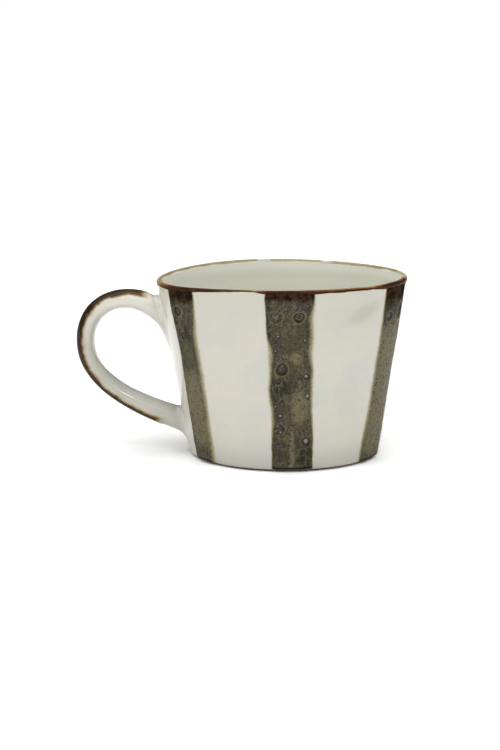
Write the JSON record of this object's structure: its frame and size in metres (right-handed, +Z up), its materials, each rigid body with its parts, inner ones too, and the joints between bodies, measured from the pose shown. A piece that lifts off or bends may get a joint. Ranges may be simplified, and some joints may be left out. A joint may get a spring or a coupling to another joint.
{
  "type": "ceramic mug",
  "caption": "Tapered hand-made stoneware mug on a trimmed foot ring, with a looped strap handle, broad raised glaze stripes down its wall and an iron-glazed lip.",
  "frame": {"origin": "centre of the overall footprint, on the surface the mug stands on", "axes": "+Z up through the mouth, -X towards the handle, and the cup's own axis is parallel to Z at x = 15.5 mm"},
  "size_m": [0.12, 0.0885, 0.066],
  "materials": {
    "white_glaze": "glossy cream-white glaze over stoneware",
    "bare_clay": "bare fired stoneware, matt and slightly rough",
    "ash_glaze": "mottled olive-brown ash glaze, glossy, with bubbles and craters",
    "iron_glaze": "glossy red-brown iron glaze, amber where thin"
  },
  "bodies": {
    "root": {"cup_body": "white_glaze", "foot_ring": "bare_clay", "handle": "white_glaze", "upper_slip_joint": "white_glaze", "lower_slip_joint": "white_glaze", "stripe_glaze_1": "ash_glaze", "stripe_glaze_2": "ash_glaze", "stripe_glaze_3": "ash_glaze", "stripe_glaze_4": "ash_glaze", "stripe_glaze_5": "ash_glaze", "stripe_glaze_6": "ash_glaze", "rim_iron_band": "iron_glaze", "handle_iron_streak": "iron_glaze"}
  },
  "joints": []
}
